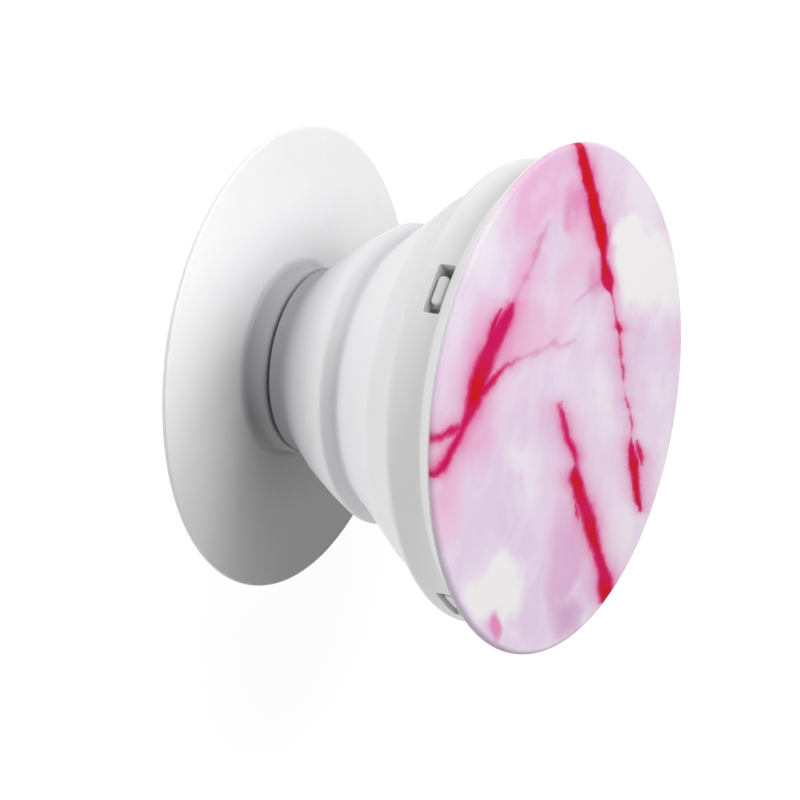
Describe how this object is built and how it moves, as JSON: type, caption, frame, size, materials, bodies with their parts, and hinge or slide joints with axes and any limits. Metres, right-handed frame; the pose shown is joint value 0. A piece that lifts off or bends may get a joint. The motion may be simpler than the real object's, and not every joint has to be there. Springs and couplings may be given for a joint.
{
  "type": "collapsible phone grip",
  "caption": "Stick-on phone grip: thin round base, stepped soft accordion that swivels and folds flat, and a round button with a marble-patterned face.",
  "frame": {"origin": "centre of the sticky underside of the adhesive pad", "axes": "+Z along the axis of revolution, from the base towards the button; X and Y lie in the sticky face"},
  "size_m": [0.04, 0.04, 0.0262],
  "materials": {
    "adhesive_foam": "matt closed-cell foam tape",
    "white_plastic": "satin moulded plastic",
    "white_elastomer": "satin soft elastomer",
    "marble_print": "smooth print, pink and lilac marble with crimson veins"
  },
  "bodies": {
    "base": {"base_disc": "white_plastic", "adhesive_pad": "adhesive_foam"},
    "stem": {"pivot_plug": "white_plastic", "accordion": "white_elastomer"},
    "button": {"button": "white_plastic", "retaining_ring": "white_plastic", "graphic_disc": "marble_print"}
  },
  "joints": [
    {"name": "swivel", "type": "hinge", "parent": "base", "child": "stem", "pos_m": [0, 0, 0.0038], "axis": [0, 0, 1], "continuous": true},
    {"name": "collapse", "type": "slide", "parent": "stem", "child": "button", "axis": [0, 0, 1], "range_m": [-0.0184, 0], "deforming": ["accordion"]}
  ]
}
